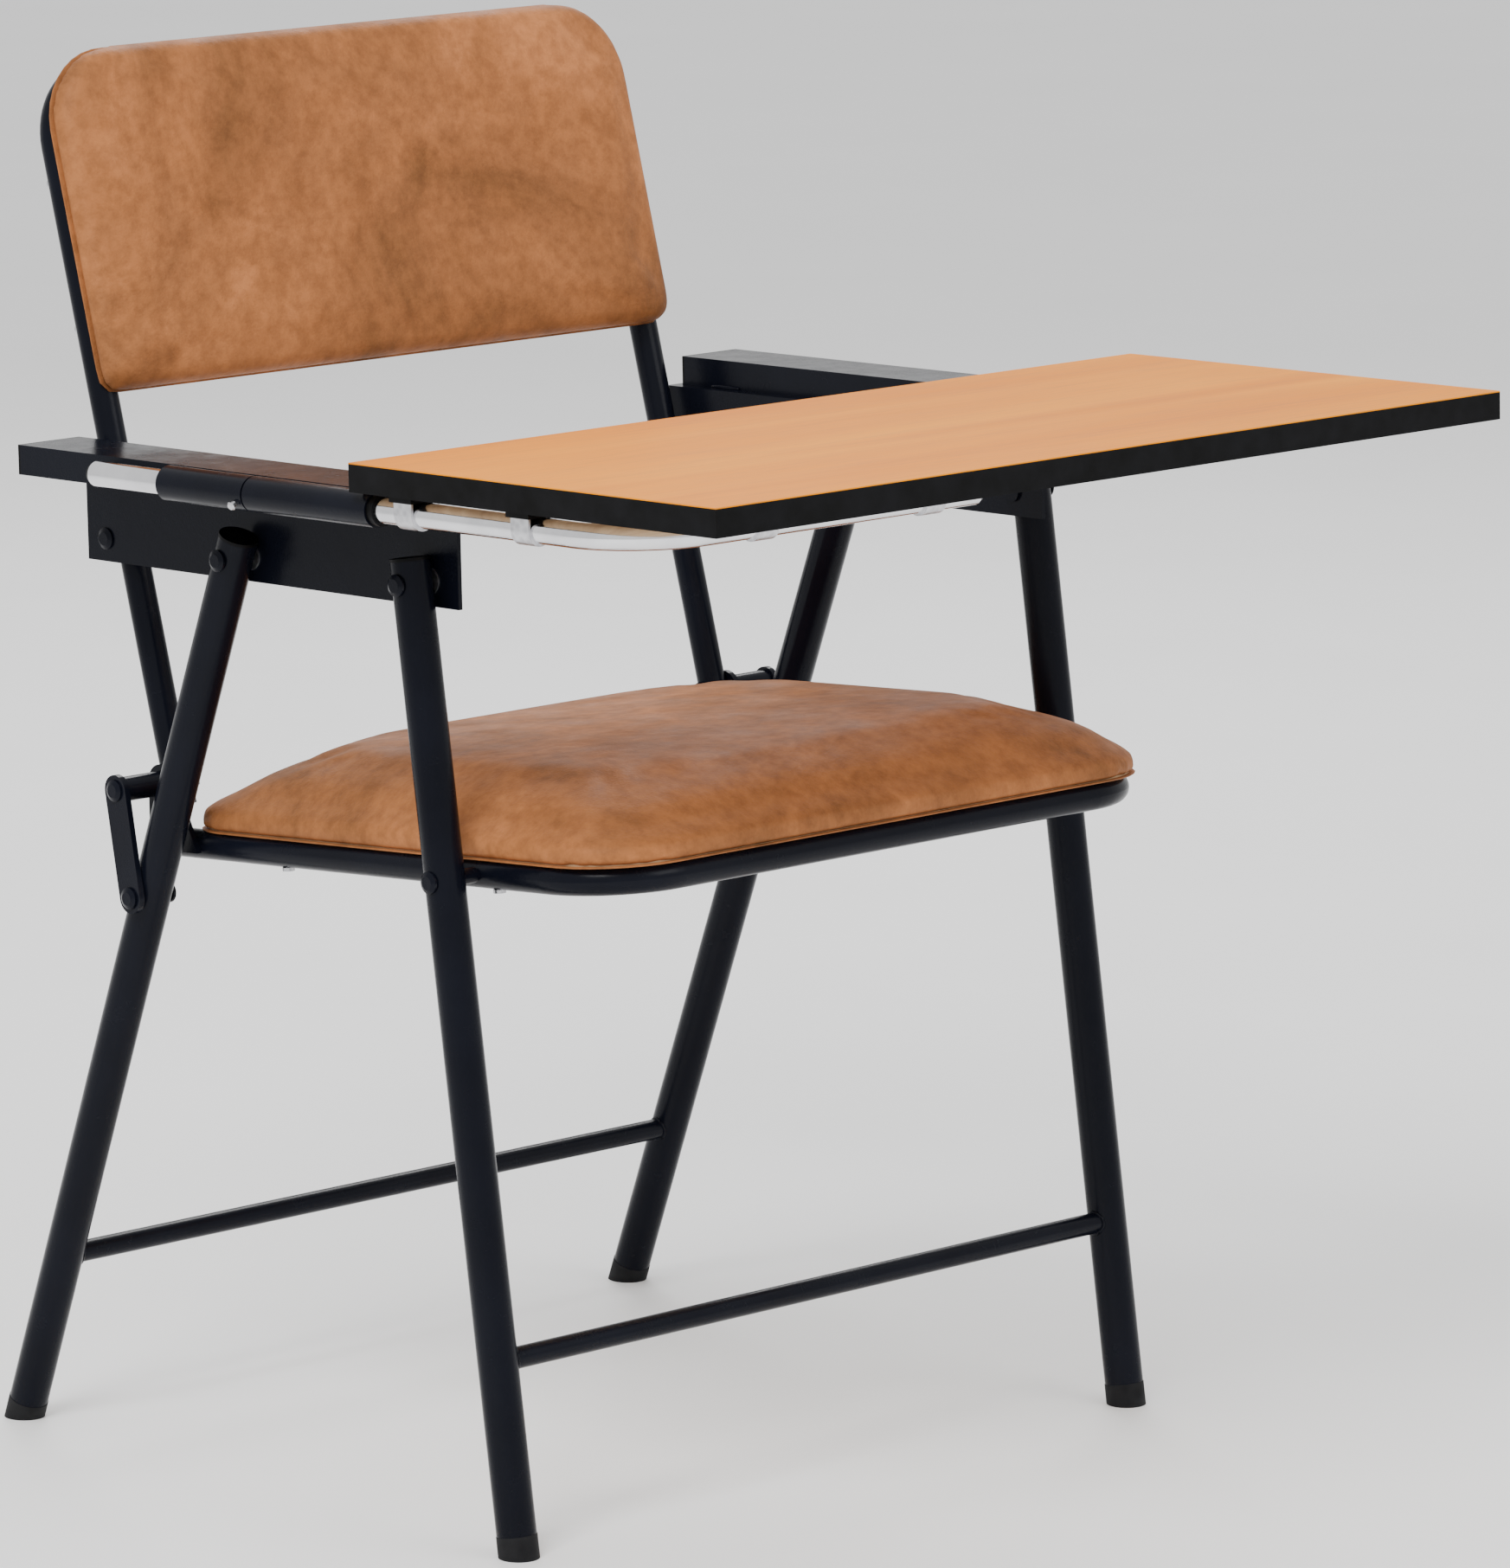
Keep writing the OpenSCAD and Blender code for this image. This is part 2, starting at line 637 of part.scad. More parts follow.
// Writing pad: a rod bent once under the board
module on_rod() { arm_plane() translate([0, 0, rod_z]) children(); }
module rod_thrust_ring() {
    color(plastic_black) on_rod() translate([rod_x, 0, 0]) difference() {
        y_rod(sleeve_front - face_gap - ring_w, sleeve_front - face_gap, ring_r);
        y_rod(sleeve_front - 2 * ring_w, sleeve_front + 1, rod_r + run_gap);
    }
}
module pad_rod() {
    color(chrome_grey) on_rod() {
        translate([rod_x, 0, 0]) y_rod(rod_bend_y, rod_rear, rod_r);
        translate([rod_x + rod_bend_r, rod_bend_y, 0]) rotate([0, 0, 180])
            rotate_extrude(angle = 90) translate([rod_bend_r, 0]) circle(r = rod_r);
        translate([0, rod_run_y, 0]) x_rod(rod_x + rod_bend_r, rod_tip_x, rod_r);
    }
}
module pad_rod_plugs() {
    color(plastic_black) on_rod() {
        translate([rod_x, rod_rear, 0]) rotate([-90, 0, 0])
            cylinder(h = rod_plug_t, r1 = rod_r, r2 = rod_r - rod_plug_t / 2);
        translate([rod_tip_x, rod_run_y, 0]) rotate([0, 90, 0])
            cylinder(h = rod_plug_t, r1 = rod_r, r2 = rod_r - rod_plug_t / 2);
    }
}
module pad_box(inset, z0, z1) {
    translate([-pad_w / 2 + inset, -pad_rear - pad_depth + inset, z0])
        cube([pad_w - 2 * inset, pad_depth - 2 * inset, z1 - z0]);
}
module pad_board() {
    color(ply_tan) difference() {
        arm_plane() pad_box(band_t, pad_bottom, pad_bottom + pad_t - laminate_t);
        on_rod() clip_shanks();
    }
}
module pad_laminate() {
    color(laminate_yellow) arm_plane() pad_box(0, pad_bottom + pad_t - laminate_t, pad_bottom + pad_t);
}
module pad_edge_band() {
    color(plastic_black) arm_plane() difference() {
        pad_box(0, pad_bottom, pad_bottom + pad_t - laminate_t);
        pad_box(band_t, pad_bottom - 1, pad_bottom + pad_t);
    }
}
// A clip around the rod along Y, with an ear at each side in ears
module clip(ears) {
    difference() {
        union() {
            y_rod(-clip_w / 2, clip_w / 2, rod_r + clip_t);
            translate([-rod_r - clip_t, -clip_w / 2, 0]) cube([2 * (rod_r + clip_t), clip_w, rod_r]);
            for (side = ears)
                translate([side > 0 ? 0 : -(rod_r + clip_t + clip_ear), -clip_w / 2, rod_r - clip_t])
                    cube([rod_r + clip_t + clip_ear, clip_w, clip_t]);
        }
        y_rod(-clip_w, clip_w, rod_r);
        translate([-rod_r, -clip_w, 0]) cube([2 * rod_r, 2 * clip_w, 2 * rod_r]);
        translate([-50, -50, rod_r]) cube(100);
    }
}
module packer(ears) {
    left = ears[0] < 0 ? rod_r + packer_ear : rod_r + clip_t + 2;
    translate([-left, -clip_w / 2 - 2, rod_r]) cube([left + rod_r + packer_ear, clip_w + 4, packer_t]);
}
module clip_shank(side) {
    translate([side * clip_screw_x, 0, rod_r - clip_t])
        cylinder(h = clip_t + packer_t + screw_bite, r = screw_r);
}
module clip_head(side) {
    translate([side * clip_screw_x, 0, rod_r - clip_t - screw_head_h])
        cylinder(h = screw_head_h, r1 = screw_head_r - 1, r2 = screw_head_r);
}
module at_clips() {
    for (y = edge_clip_ys) translate([rod_x, y, 0]) children(0);
    for (x = run_clip_xs) translate([x, rod_run_y, 0]) rotate([0, 0, 90]) children(1);
}
module clip_shanks() {
    at_clips() {
        clip_shank(1);
        for (side = [-1, 1]) clip_shank(side);
    }
}
module pad_clips() {
    color(chrome_grey) on_rod() difference() {
        at_clips() {
            clip([1]);
            clip([-1, 1]);
        }
        clip_shanks();
    }
}
module pad_packers() {
    color(plastic_black) on_rod() difference() {
        at_clips() {
            packer([1]);
            packer([-1, 1]);
        }
        clip_shanks();
    }
}
module pad_clip_screws() {
    color(chrome_grey) on_rod() {
        clip_shanks();
        at_clips() {
            clip_head(1);
            for (side = [-1, 1]) clip_head(side);
        }
    }
}

rear_leg_right();
rear_leg_left();
rear_stretcher();
rear_leg_caps();
rear_feet();
link_rivets();
front_leg_right();
front_leg_left();
front_stretcher();
front_leg_caps();
front_feet();
seat_pivot_bolts();
link_right();
link_left();
link_nuts();
arm_tube_right();
arm_tube_left();
arm_bracket_right();
arm_bracket_left();
arm_end_plugs();
pad_sleeve_rear();
pad_sleeve_front();
sleeve_bushes();
sleeve_screw();
pad_rest_button();
back_pivot_bolts();
back_pivot_spacers();
rear_leg_bolts();
front_leg_bolts();
leg_washers();
back_frame();
back_frame_plugs();
backrest_board();
backrest_pad();
backrest_screws();
seat_hinge_bolts();
seat_hinge_spacers();
seat_frame();
seat_rear_bar();
seat_tabs();
seat_frame_plugs();
seat_board();
seat_cushion();
seat_screws();
rod_thrust_ring();
pad_rod();
pad_rod_plugs();
pad_board();
pad_laminate();
pad_edge_band();
pad_packers();
pad_clips();
pad_clip_screws();
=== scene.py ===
"""Looks of the folding student desk chair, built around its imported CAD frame.

Units are metres, +Z is up, and the chair faces -Y. The sitter's right is -X.
"""
import json
import math
import bmesh
import bpy
from mathutils import Matrix, Vector


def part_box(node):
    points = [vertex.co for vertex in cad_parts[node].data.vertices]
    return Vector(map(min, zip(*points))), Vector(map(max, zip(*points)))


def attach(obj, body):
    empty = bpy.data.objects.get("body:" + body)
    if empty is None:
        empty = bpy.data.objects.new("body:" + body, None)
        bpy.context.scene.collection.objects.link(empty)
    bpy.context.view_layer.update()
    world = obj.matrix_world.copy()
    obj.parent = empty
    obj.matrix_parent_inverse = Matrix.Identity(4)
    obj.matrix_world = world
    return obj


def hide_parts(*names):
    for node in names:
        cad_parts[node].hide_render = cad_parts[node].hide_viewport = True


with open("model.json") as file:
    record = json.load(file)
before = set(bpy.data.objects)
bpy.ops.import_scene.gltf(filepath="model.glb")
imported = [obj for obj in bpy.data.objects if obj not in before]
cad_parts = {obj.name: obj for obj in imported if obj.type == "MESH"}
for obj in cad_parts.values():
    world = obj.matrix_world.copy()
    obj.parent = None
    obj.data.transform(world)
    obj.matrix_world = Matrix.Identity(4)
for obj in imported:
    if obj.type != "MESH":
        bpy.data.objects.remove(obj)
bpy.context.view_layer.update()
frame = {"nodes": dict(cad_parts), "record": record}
nodes = frame["nodes"]

MM = 0.001


# Camera, floor and lights

CAMERA_PLACE = Vector((-3.856, -4.1008, 1.4905))
CAMERA_AZIMUTH = math.radians(-43.655)
CAMERA_ELEVATION = math.radians(10.938)
CAMERA_ROLL = math.radians(-0.19)
CAMERA_LENS = 205.56
CAMERA_SHIFT = (-0.0055, 0.0315)


def make_camera():
    data = bpy.data.cameras.new("camera")
    data.lens = CAMERA_LENS
    data.sensor_width = 36
    data.shift_x, data.shift_y = CAMERA_SHIFT
    data.clip_end = 60
    camera = bpy.data.objects.new("camera", data)
    turn = Matrix.Rotation(CAMERA_AZIMUTH, 4, "Z") @ Matrix.Rotation(math.pi / 2 - CAMERA_ELEVATION, 4, "X")
    camera.matrix_world = Matrix.Translation(CAMERA_PLACE) @ turn @ Matrix.Rotation(CAMERA_ROLL, 4, "Z")
    bpy.context.scene.collection.objects.link(camera)
    bpy.context.scene.camera = camera


def area_light(name, place, target, size, power):
    data = bpy.data.lights.new(name, "AREA")
    data.shape = "RECTANGLE"
    data.size, data.size_y = size
    data.energy = power
    light = bpy.data.objects.new(name, data)
    light.location = place
    light.rotation_euler = (Vector(target) - Vector(place)).to_track_quat("-Z", "Y").to_euler()
    bpy.context.scene.collection.objects.link(light)


def make_studio():
    world = bpy.data.worlds.new("studio")
    world.use_nodes = True
    world.node_tree.nodes["Background"].inputs["Color"].default_value = (1.0, 1.0, 1.0, 1)
    world.node_tree.nodes["Background"].inputs["Strength"].default_value = 1.0
    bpy.context.scene.world = world
    middle = (0, 0, 0.5)
    area_light("key", (-2.4, -1.0, 3.4), middle, (1.5, 1.5), 120)
    area_light("fill", (1.0, -3.6, 2.6), middle, (2.4, 1.6), 40)
    area_light("rim", (2.2, 2.4, 2.8), middle, (1.8, 1.2), 55)
    bpy.ops.mesh.primitive_plane_add(size=30, location=(0, 0, 0))
    floor = bpy.context.object
    floor.name = "floor"
    floor.data.materials.append(floor_material())


# Materials

class Nodes:
    """A material's node tree, with short calls for the nodes used here."""

    def __init__(self, name):
        self.material = bpy.data.materials.new(name)
        self.material.use_nodes = True
        self.tree = self.material.node_tree
        self.shader = self.tree.nodes["Principled BSDF"]
        self.place = self.add("ShaderNodeTexCoord").outputs["Object"]

    def add(self, kind, **values):
        node = self.tree.nodes.new(kind)
        for key, value in values.items():
            setattr(node, key, value)
        return node

    def link(self, source, target):
        self.tree.links.new(source, target)

    def stretched(self, scale):
        mapping = self.add("ShaderNodeMapping")
        mapping.inputs["Scale"].default_value = scale
        self.link(self.place, mapping.inputs["Vector"])
        return mapping.outputs["Vector"]

    def noise(self, scale, detail=4.0, roughness=0.55, where=None, distortion=0.0):
        node = self.add("ShaderNodeTexNoise")
        node.inputs["Scale"].default_value = scale
        node.inputs["Detail"].default_value = detail
        node.inputs["Roughness"].default_value = roughness
        node.inputs["Distortion"].default_value = distortion
        self.link(where or self.place, node.inputs["Vector"])
        return node.outputs["Fac"]

    def cells(self, scale, feature="F1", where=None):
        node = self.add("ShaderNodeTexVoronoi", feature=feature)
        node.inputs["Scale"].default_value = scale
        self.link(where or self.place, node.inputs["Vector"])
        return node.outputs["Distance"]

    def ramp(self, source, stops):
        node = self.add("ShaderNodeValToRGB")
        points = node.color_ramp.elements
        while len(points) < len(stops):
            points.new(0.5)
        for point, (position, value) in zip(points, stops):
            point.position = position
            point.color = (*value, 1)
        self.link(source, node.inputs["Fac"])
        return node.outputs["Color"]

    def grey(self, source, low, high, start=0.3, end=0.7):
        node = self.add("ShaderNodeMapRange")
        for key, value in (("From Min", start), ("From Max", end), ("To Min", low), ("To Max", high)):
            node.inputs[key].default_value = value
        self.link(source, node.inputs["Value"])
        return node.outputs["Result"]

    def mix(self, factor, first, second, blend="MIX"):
        node = self.add("ShaderNodeMix", data_type="RGBA", blend_type=blend)
        colour_sockets = [s for s in node.inputs if s.type == "RGBA"]
        for socket, value in zip([node.inputs[0], *colour_sockets], (factor, first, second)):
            if isinstance(value, (int, float)):
                socket.default_value = value
            elif isinstance(value, tuple):
                socket.default_value = (*value, 1)
            else:
                self.link(value, socket)
        return [s for s in node.outputs if s.type == "RGBA"][0]

    def bump(self, layers):
        normal = None
        for height, strength, distance in layers:
            node = self.add("ShaderNodeBump")
            node.inputs["Strength"].default_value = strength
            node.inputs["Distance"].default_value = distance
            self.link(height, node.inputs["Height"])
            if normal:
                self.link(normal, node.inputs["Normal"])
            normal = node.outputs["Normal"]
        self.link(normal, self.shader.inputs["Normal"])

    def paint(self, base, roughness, **constants):
        self.link(base, self.shader.inputs["Base Color"])
        self.link(roughness, self.shader.inputs["Roughness"])
        for key, value in constants.items():
            self.shader.inputs[key.replace("_", " ")].default_value = value
        return self.material


def floor_material():
    m = Nodes("floor")
    tone = m.ramp(m.noise(3), [(0.3, (0.95, 0.95, 0.95)), (0.7, (0.97, 0.97, 0.97))])
    return m.paint(tone, m.grey(m.noise(8), 0.6, 0.75))


def powder_coat():
    m = Nodes("black_powder_coat")
    base = m.ramp(m.noise(9, 5), [(0.3, (0.0025, 0.003, 0.006)), (0.7, (0.005, 0.006, 0.011))])
    peel = m.noise(850, 2)
    dust = m.noise(45, 6, 0.7)
    m.bump([(peel, 0.10, 0.0006), (m.noise(140, 3), 0.05, 0.0015)])
    return m.paint(base, m.grey(dust, 0.17, 0.30), Specular_IOR_Level=0.10)


def chrome():
    m = Nodes("chrome_rod")
    base = m.ramp(m.noise(30, 4), [(0.35, (0.70, 0.70, 0.72)), (0.65, (0.80, 0.80, 0.82))])
    scratch = m.noise(60, 8, 0.8, m.stretched((18, 1, 18)))
    m.bump([(scratch, 0.03, 0.0003)])
    return m.paint(base, m.grey(scratch, 0.07, 0.20), Metallic=1.0)


def zinc():
    m = Nodes("zinc_steel")
    spangle = m.cells(260)
    base = m.ramp(spangle, [(0.2, (0.50, 0.50, 0.52)), (0.8, (0.64, 0.64, 0.66))])
    m.bump([(m.noise(500, 3), 0.08, 0.0004)])
    return m.paint(base, m.grey(m.noise(120, 4), 0.28, 0.45), Metallic=1.0)


def black_plastic():
    m = Nodes("black_plastic")
    base = m.ramp(m.noise(60, 4), [(0.3, (0.002, 0.002, 0.002)), (0.7, (0.005, 0.005, 0.006))])
    m.bump([(m.noise(1500, 2), 0.12, 0.0004)])
    return m.paint(base, m.grey(m.noise(90, 5), 0.38, 0.55), Specular_IOR_Level=0.08)


def black_rubber():
    m = Nodes("black_rubber")
    base = m.ramp(m.noise(80, 5), [(0.3, (0.004, 0.004, 0.005)), (0.7, (0.010, 0.010, 0.011))])
    m.bump([(m.noise(900, 3), 0.15, 0.0005)])
    return m.paint(base, m.grey(m.noise(70, 5), 0.6, 0.8), Specular_IOR_Level=0.2)


def leatherette():
    m = Nodes("tan_leatherette")
    warped = m.noise(7, 6, 0.62, distortion=1.2)
    cloud = m.ramp(warped, [
        (0.30, (0.185, 0.074, 0.024)),
        (0.44, (0.275, 0.106, 0.036)),
        (0.56, (0.350, 0.134, 0.045)),
        (0.70, (0.450, 0.176, 0.062)),
    ])
    fleck = m.ramp(m.noise(95, 5, 0.65), [(0.36, (0.80, 0.77, 0.74)), (0.62, (1.08, 1.06, 1.04))])
    base = m.mix(1.0, cloud, fleck, "MULTIPLY")
    pebble = m.cells(620, "SMOOTH_F1")
    crease = m.noise(240, 6, 0.6)
    m.bump([(m.noise(22, 3), 0.25, 0.003), (crease, 0.22, 0.0010), (pebble, 0.35, 0.0006)])
    return m.paint(base, m.grey(m.noise(30, 5), 0.52, 0.70), Specular_IOR_Level=0.16)


def plywood():
    m = Nodes("plywood")
    grain = m.noise(9, 8, 0.6, m.stretched((1, 9, 60)))
    base = m.ramp(grain, [(0.3, (0.36, 0.22, 0.11)), (0.55, (0.52, 0.35, 0.19)), (0.75, (0.60, 0.43, 0.26))])
    m.bump([(grain, 0.2, 0.0006)])
    return m.paint(base, m.grey(grain, 0.6, 0.8))


def laminate():
    m = Nodes("wood_laminate")
    broad = m.noise(2.2, 4, 0.5, m.stretched((0.7, 8, 8)), 0.6)
    fine = m.noise(10, 8, 0.7, m.stretched((1.2, 38, 38)), 0.3)
    tone = m.ramp(broad, [
        (0.30, (0.72, 0.21, 0.0)),
        (0.50, (0.80, 0.255, 0.0)),
        (0.70, (0.86, 0.30, 0.002)),
    ])
    streak = m.ramp(fine, [(0.34, (0.80, 0.72, 0.62)), (0.50, (1.0, 1.0, 1.0)), (0.75, (1.05, 1.06, 1.08))])
    base = m.mix(0.75, tone, m.mix(1.0, tone, streak, "MULTIPLY"))
    m.bump([(fine, 0.06, 0.0004), (m.noise(900, 2), 0.04, 0.0003)])
    return m.paint(base, m.grey(fine, 0.42, 0.55), Specular_IOR_Level=0.03)


MATERIALS = {
    "black_powder_coat": powder_coat,
    "chrome_rod": chrome,
    "zinc_steel": zinc,
    "black_plastic": black_plastic,
    "black_rubber": black_rubber,
    "tan_leatherette": leatherette,
    "plywood": plywood,
    "wood_laminate": laminate,
}
made = {}


def material(slot):
    if slot not in made:
        made[slot] = MATERIALS[slot]()
    return made[slot]


def dress(piece, slot):
    piece.data.materials.clear()
    piece.data.materials.append(material(slot))


def dress_frame():
    for part in frame["record"]["subparts"]:
        dress(nodes[part["node"]], part["material_slot"])


# Small mesh helpers

def new_piece(name, mesh_builder, slot, body, place=None, smooth=True):
    mesh = bmesh.new()
    mesh_builder(mesh)
    bmesh.ops.recalc_face_normals(mesh, faces=mesh.faces)
    data = bpy.data.meshes.new(name)
    mesh.to_mesh(data)
    mesh.free()
    for face in data.polygons:
        face.use_smooth = smooth
    if place:
        data.transform(place)
    piece = bpy.data.objects.new(name, data)
    bpy.context.scene.collection.objects.link(piece)
    dress(piece, slot)
    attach(piece, body)
    return piece


def soften_edges():
    """Rolled and moulded edges of the CAD nodes: a small round on each sharp edge."""
    rounds = {
        "arm_tube_right": 1.6, "arm_tube_left": 1.6, "arm_bracket_right": 0.5, "arm_bracket_left": 0.5,
        "link_right": 0.6, "link_left": 0.6, "pad_edge_band": 0.5, "pad_laminate": 0.15,
        "seat_tabs": 0.6, "arm_end_plugs": 0.6,
    }
    for name, radius in rounds.items():
        bevel = nodes[name].modifiers.new("round", "BEVEL")
        bevel.width = radius * MM
        bevel.segments = 3
        bevel.limit_method = "ANGLE"
        bevel.angle_limit = math.radians(50)
        bevel.harden_normals = True


# Upholstery

SEAT_SLOPE = math.radians(4.05)
SEAT_BOARD_T = 9 * MM
SEAT_BOARD_INSET = 4 * MM
# A cushion's levels, in mm: height, inset all round, extra inset at the rear or top edge,
# and the corner radius at the front or lower edge and at the rear or top edge.
SEAT_LEVELS = [
    (0.2, 0, 0, 55, 45),
    (4, 0, 0, 55, 45),
    (8, 0.3, 0, 55, 45),
    (12, 1, 0.5, 55, 44),
    (15, 3, 1.5, 54, 43),
    (20, 7, 3, 52, 41),
    (26, 12, 6, 51, 43),
    (31, 17, 8, 52, 48),
    (36, 23, 8, 56, 54),
    (41, 32, 7, 62, 62),
    (45, 43, 6, 68, 74),
]
SEAT_TOP = 49
BACK_LEAN = math.radians(15.58)
BACK_BOARD_T = 6 * MM
BACK_BOARD_INSET = 4 * MM
BACK_TOP_CORNER = 52
BACK_LOW_CORNER = 12
BACK_LEVELS = [
    (0.2, 0, 0, BACK_LOW_CORNER, BACK_TOP_CORNER),
    (3, 0, 0, BACK_LOW_CORNER, BACK_TOP_CORNER),
    (6, 0, 0, BACK_LOW_CORNER, BACK_TOP_CORNER),
    (12, 0.8, 0, BACK_LOW_CORNER, BACK_TOP_CORNER),
    (16, 2.5, 0, BACK_LOW_CORNER, BACK_TOP_CORNER),
    (18.3, 6, 0, BACK_LOW_CORNER + 2, BACK_TOP_CORNER),
    (19.3, 14, 0, BACK_LOW_CORNER + 8, BACK_TOP_CORNER),
]
BACK_TOP = 20.5


CORNER_STEPS = 16
RING_POINTS = 150
CROWN_RINGS = 14
WALL_GIVE = 0.6 * MM
WALL_BLEND = 12 * MM


def rounded_outline(half, low, high, low_corner, high_corner):
    """Points round a plate from y = low to y = high, with two sizes of corner."""
    corners = [
        (half, high, high_corner, 0),
        (-half, high, high_corner, 90),
        (-half, low, low_corner, 180),
        (half, low, low_corner, 270),
    ]
    points = []
    for x, y, radius, start in corners:
        centre = Vector((x - math.copysign(radius, x), y - radius if y == high else y + radius))
        for i in range(CORNER_STEPS + 1):
            angle = math.radians(start + 90 * i / CORNER_STEPS)
            points.append(centre + radius * Vector((math.cos(angle), math.sin(angle))))
    return points


def resampled(points, count):
    """The same closed outline with evenly spaced points."""
    ring = points + points[:1]
    lengths = [(b - a).length for a, b in zip(ring, ring[1:])]
    total = sum(lengths)
    result = []
    index, walked = 0, 0.0
    for i in range(count):
        target = total * i / count
        while walked + lengths[index] < target:
            walked += lengths[index]
            index += 1
        share = (target - walked) / lengths[index]
        result.append(ring[index].lerp(ring[index + 1], share))
    return result


def crowned_form(width, depth, levels, top):
    """A closed cushion form: side rings from levels, then a crown over the middle.

    y = 0 is its rear or top edge, and it runs to -depth.
    """
    rings = []
    for height, inset, rear_inset, front_corner, rear_corner in levels:
        outline = rounded_outline(
            width / 2 - inset * MM, -depth + inset * MM, -(inset + rear_inset) * MM,
            front_corner * MM, rear_corner * MM)
        rings.append([(*p, height * MM) for p in resampled(outline, RING_POINTS)])
    edge_height = levels[-1][0] * MM
    middle = Vector((0, -depth / 2))
    for i in range(1, CROWN_RINGS):
        t = i / CROWN_RINGS
        z = edge_height + (top * MM - edge_height) * (1 - (1 - t) ** 2.2)
        rings.append([(*Vector(p[:2]).lerp(middle, t), z) for p in rings[len(levels) - 1]])

    def build(mesh):
        rows = [[mesh.verts.new(p) for p in ring] for ring in rings]
        for low, high in zip(rows, rows[1:]):
            for i, _ in enumerate(low):
                j = (i + 1) % len(low)
                mesh.faces.new((low[i], low[j], high[j], high[i]))
        mesh.faces.new(rows[-1])
        mesh.faces.new(list(reversed(rows[0])))
    return build


def inflate(piece, voxel, cap, floor_z, wall_top, pressure=4.0):
    """Cloth under pressure swells the form; no point moves further than cap or below floor_z.

    The wall up to wall_top, which wraps the board, keeps its place while the rest is smoothed.
    """
    select_only(piece)
    remesh = piece.modifiers.new("even", "REMESH")
    remesh.mode = "VOXEL"
    remesh.voxel_size = voxel
    bpy.ops.object.modifier_apply(modifier=remesh.name)
    rest = [v.co.copy() for v in piece.data.vertices]
    held = piece.vertex_groups.new(name="held")
    held.add([v.index for v in piece.data.vertices if v.co.z < floor_z + voxel], 1.0, "REPLACE")
    cloth = piece.modifiers.new("cloth", "CLOTH")
    cloth.settings.use_pressure = True
    cloth.settings.uniform_pressure_force = pressure
    cloth.settings.effector_weights.gravity = 0
    cloth.settings.vertex_group_mass = held.name
    cloth.settings.quality = 6
    for number in range(1, 21):
        bpy.context.scene.frame_set(number)
    bpy.ops.object.modifier_apply(modifier=cloth.name)
    bpy.context.scene.frame_set(1)
    for vertex, start in zip(piece.data.vertices, rest):
        move = vertex.co - start
        height_share = min(max((start.z - wall_top) / WALL_BLEND, 0), 1)
        limit = WALL_GIVE + (cap - WALL_GIVE) * height_share
        if move.length > limit:
            vertex.co = start + move.normalized() * limit
        vertex.co.z = max(vertex.co.z, floor_z)
    free = piece.vertex_groups.new(name="free")
    free.add([v.index for v in piece.data.vertices if v.co.z > wall_top], 1.0, "REPLACE")
    smooth = piece.modifiers.new("smooth", "SMOOTH")
    smooth.iterations = 6
    smooth.factor = 0.5
    smooth.vertex_group = free.name
    bpy.ops.object.modifier_apply(modifier=smooth.name)
    finer = piece.modifiers.new("finer", "SUBSURF")
    finer.levels = 1
    finer.render_levels = 1
    bpy.ops.object.modifier_apply(modifier=finer.name)
    for face in piece.data.polygons:
        face.use_smooth = True


def select_only(piece):
    bpy.ops.object.select_all(action="DESELECT")
    piece.select_set(True)
    bpy.context.view_layer.objects.active = piece


def cushion(node, size, levels, top, body, place, cap, wall_top):
    piece = new_piece(node + "_cover", crowned_form(*size, levels, top), "tan_leatherette", body)
    inflate(piece, 4.5 * MM, cap, levels[0][0] * MM, wall_top)
    piece.data.transform(place)
    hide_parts(node)
    return piece


def tilted_length(low, high, thickness, slope):
    """The length along the slope of a tilted board, from the box round it."""
    return (high - low - thickness * math.sin(slope)) / math.cos(slope)


def seat_place():
    """From cushion coordinates (y = 0 at the rear edge, z = 0 on the frame tubes) to the row frame."""
    low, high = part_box("seat_board")
    rear = high.y - SEAT_BOARD_T * math.sin(SEAT_SLOPE) + SEAT_BOARD_INSET * math.cos(SEAT_SLOPE)
    height = low.z - SEAT_BOARD_INSET * math.sin(SEAT_SLOPE)
    return Matrix.Translation((0, rear, height)) @ Matrix.Rotation(-SEAT_SLOPE, 4, "X")


def back_place():
    """From pad coordinates (y = 0 at the top edge, z = 0 on the frame tubes) to the row frame."""
    low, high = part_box("backrest_board")
    turn = Matrix.Rotation(math.pi / 2 - BACK_LEAN, 4, "X")
    top = Vector((0, high.y, high.z - BACK_BOARD_T * math.sin(BACK_LEAN)))
    return Matrix.Translation(top) @ turn @ Matrix.Translation((0, BACK_BOARD_INSET, 0))


def make_seat_cushion():
    low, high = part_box("seat_cushion")
    board_low, board_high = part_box("seat_board")
    depth = tilted_length(board_low.y, board_high.y, SEAT_BOARD_T, SEAT_SLOPE) + 2 * SEAT_BOARD_INSET
    size = (high.x - low.x, depth)
    cushion("seat_cushion", size, SEAT_LEVELS, SEAT_TOP, "seat", seat_place(), 5 * MM, SEAT_BOARD_T + 4 * MM)
    make_hem("seat_cushion", size, (55, 45), 28, 23, "seat", seat_place())


def make_back_pad():
    low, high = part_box("backrest_pad")
    board_low, board_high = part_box("backrest_board")
    height = tilted_length(board_low.z, board_high.z, BACK_BOARD_T, BACK_LEAN) + 2 * BACK_BOARD_INSET
    size = (high.x - low.x, height)
    cushion("backrest_pad", size, BACK_LEVELS, BACK_TOP, "back", back_place(), 3 * MM, BACK_BOARD_T + 2 * MM)
    make_hem("backrest_pad", size, (BACK_LOW_CORNER, BACK_TOP_CORNER), 33, 27, "back", back_place())


# The covers' hems, turned under the boards and stapled

